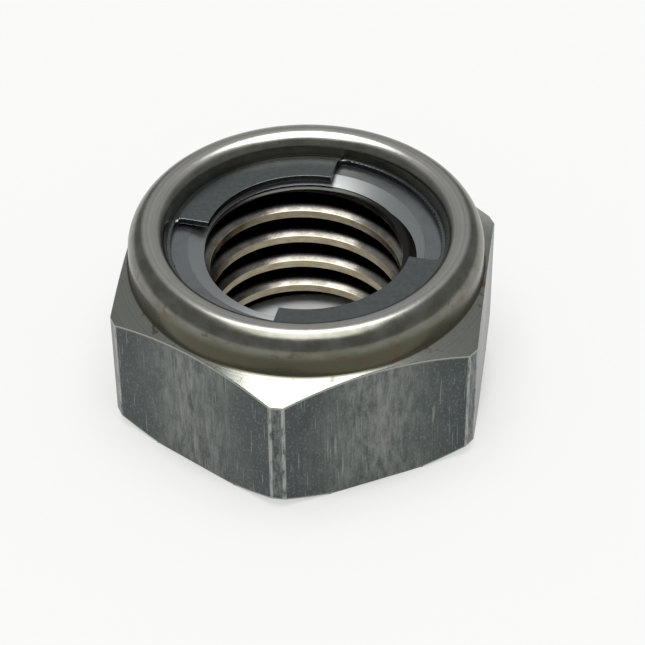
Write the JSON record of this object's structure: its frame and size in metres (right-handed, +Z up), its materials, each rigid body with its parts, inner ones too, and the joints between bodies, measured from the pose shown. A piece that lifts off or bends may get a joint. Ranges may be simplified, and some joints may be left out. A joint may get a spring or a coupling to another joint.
{
  "type": "all-metal hex lock nut",
  "caption": "Hexagonal steel lock nut with chamfered crowns and a rolled collar that traps a pressed spring-steel locking ring above the thread.",
  "frame": {"origin": "thread axis at the bearing face, which is the bottom of the nut", "axes": "+Z up along the thread axis from the bearing face to the locking ring; Y through two opposite corners of the hexagon; X through two opposite flats"},
  "size_m": [0.019, 0.0216, 0.01],
  "materials": {
    "body_steel": "plain turned steel, darkened by use",
    "insert_steel": "blue-grey tempered spring steel, matt"
  },
  "bodies": {
    "root": {"nut_body": "body_steel", "locking_insert": "insert_steel"}
  },
  "joints": []
}
